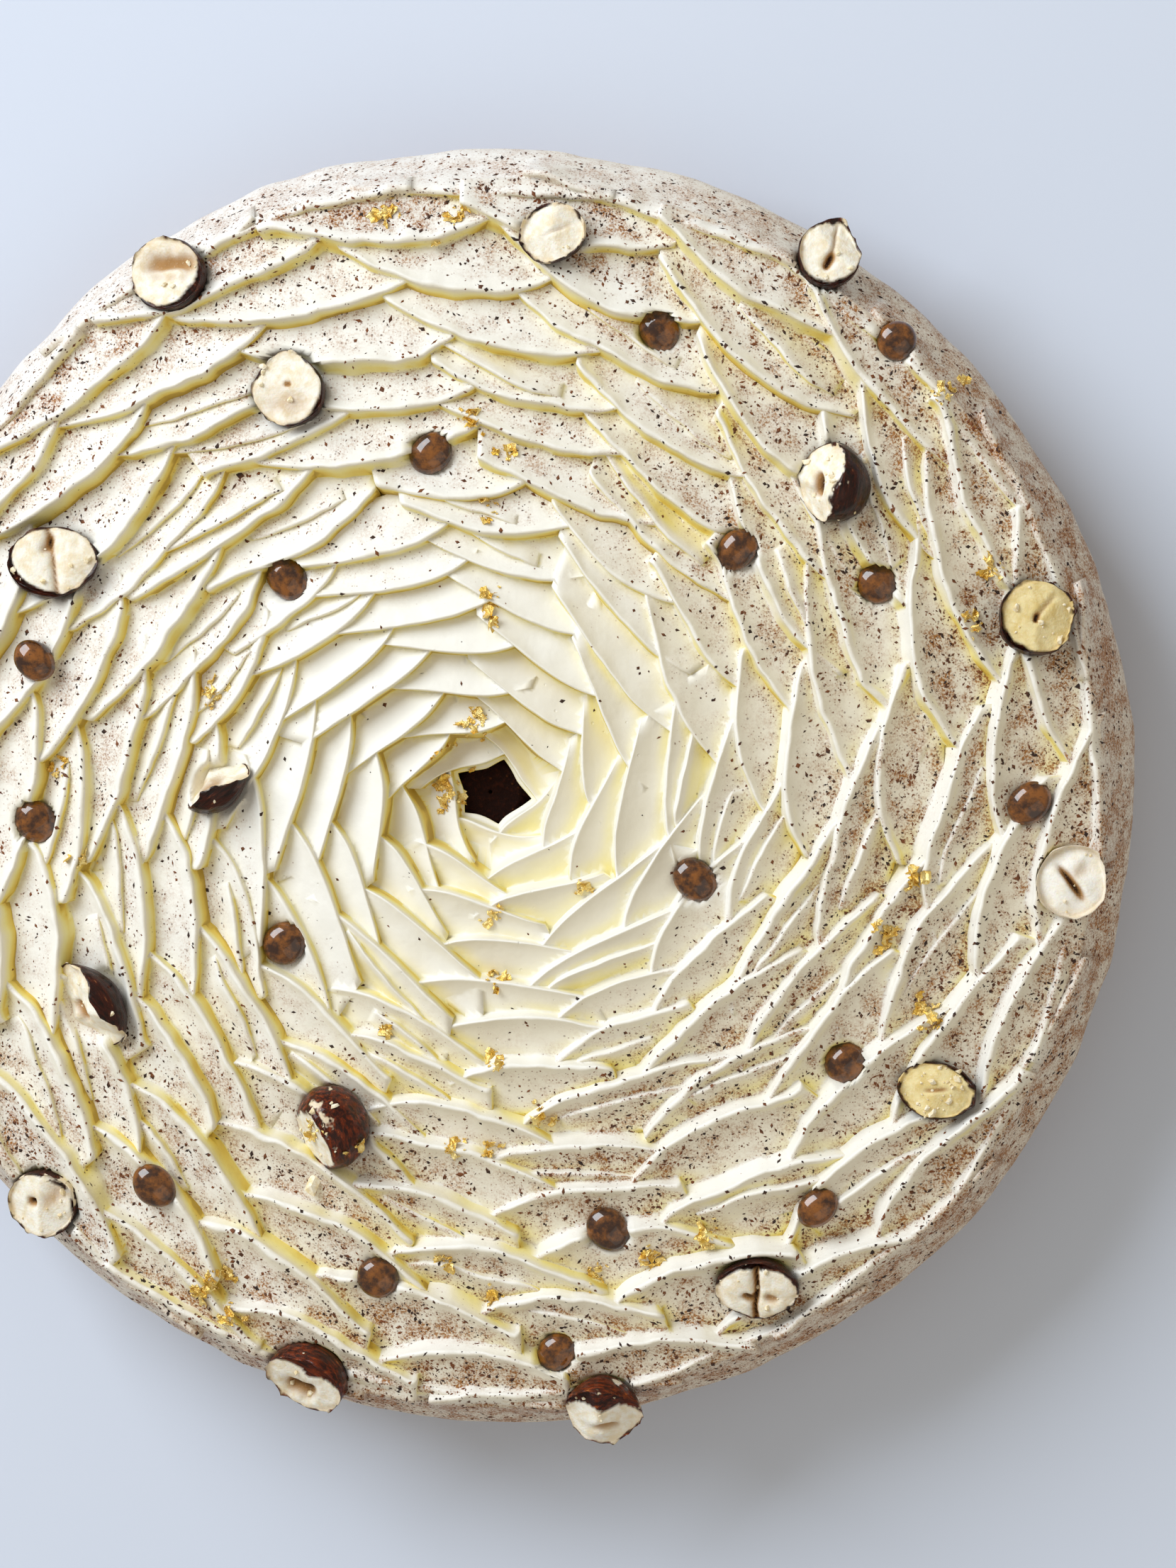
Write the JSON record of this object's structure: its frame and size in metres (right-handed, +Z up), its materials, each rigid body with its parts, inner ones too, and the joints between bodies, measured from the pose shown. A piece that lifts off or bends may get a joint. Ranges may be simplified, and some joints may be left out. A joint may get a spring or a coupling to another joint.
{
  "type": "praline tart",
  "caption": "Round tart topped with rows of overlapping piped white cream petals, a praline centre, roasted hazelnut pieces, praline dots and gold leaf.",
  "frame": {"origin": "on the flat underside, straight below the middle of the hole in the cream", "axes": "+Z up out of the cream; +X and +Y lie in the underside as the picture's right and up"},
  "size_m": [0.2297, 0.2307, 0.0475],
  "materials": {
    "crust": "baked, dry",
    "praline": "grainy, wet shine",
    "cream": "soft satin, dusted with cocoa",
    "nut": "ivory cut side, glossy brown skin",
    "dot": "glossy"
  },
  "bodies": {
    "root": {"tart_shell": "crust", "praline_filling": "praline", "piped_cream": "cream", "hazelnut_01": "nut", "hazelnut_02": "nut", "hazelnut_03": "nut", "hazelnut_04": "nut", "hazelnut_05": "nut", "hazelnut_06": "nut", "hazelnut_07": "nut", "hazelnut_08": "nut", "hazelnut_09": "nut", "hazelnut_10": "nut", "hazelnut_11": "nut", "hazelnut_12": "nut", "hazelnut_13": "nut", "hazelnut_14": "nut", "hazelnut_15": "nut", "hazelnut_16": "nut", "praline_dot_01": "dot", "praline_dot_02": "dot", "praline_dot_03": "dot", "praline_dot_04": "dot", "praline_dot_05": "dot", "praline_dot_06": "dot", "praline_dot_07": "dot", "praline_dot_08": "dot", "praline_dot_09": "dot", "praline_dot_10": "dot", "praline_dot_11": "dot", "praline_dot_12": "dot", "praline_dot_13": "dot", "praline_dot_14": "dot", "praline_dot_15": "dot", "praline_dot_16": "dot", "praline_dot_17": "dot"}
  },
  "joints": []
}
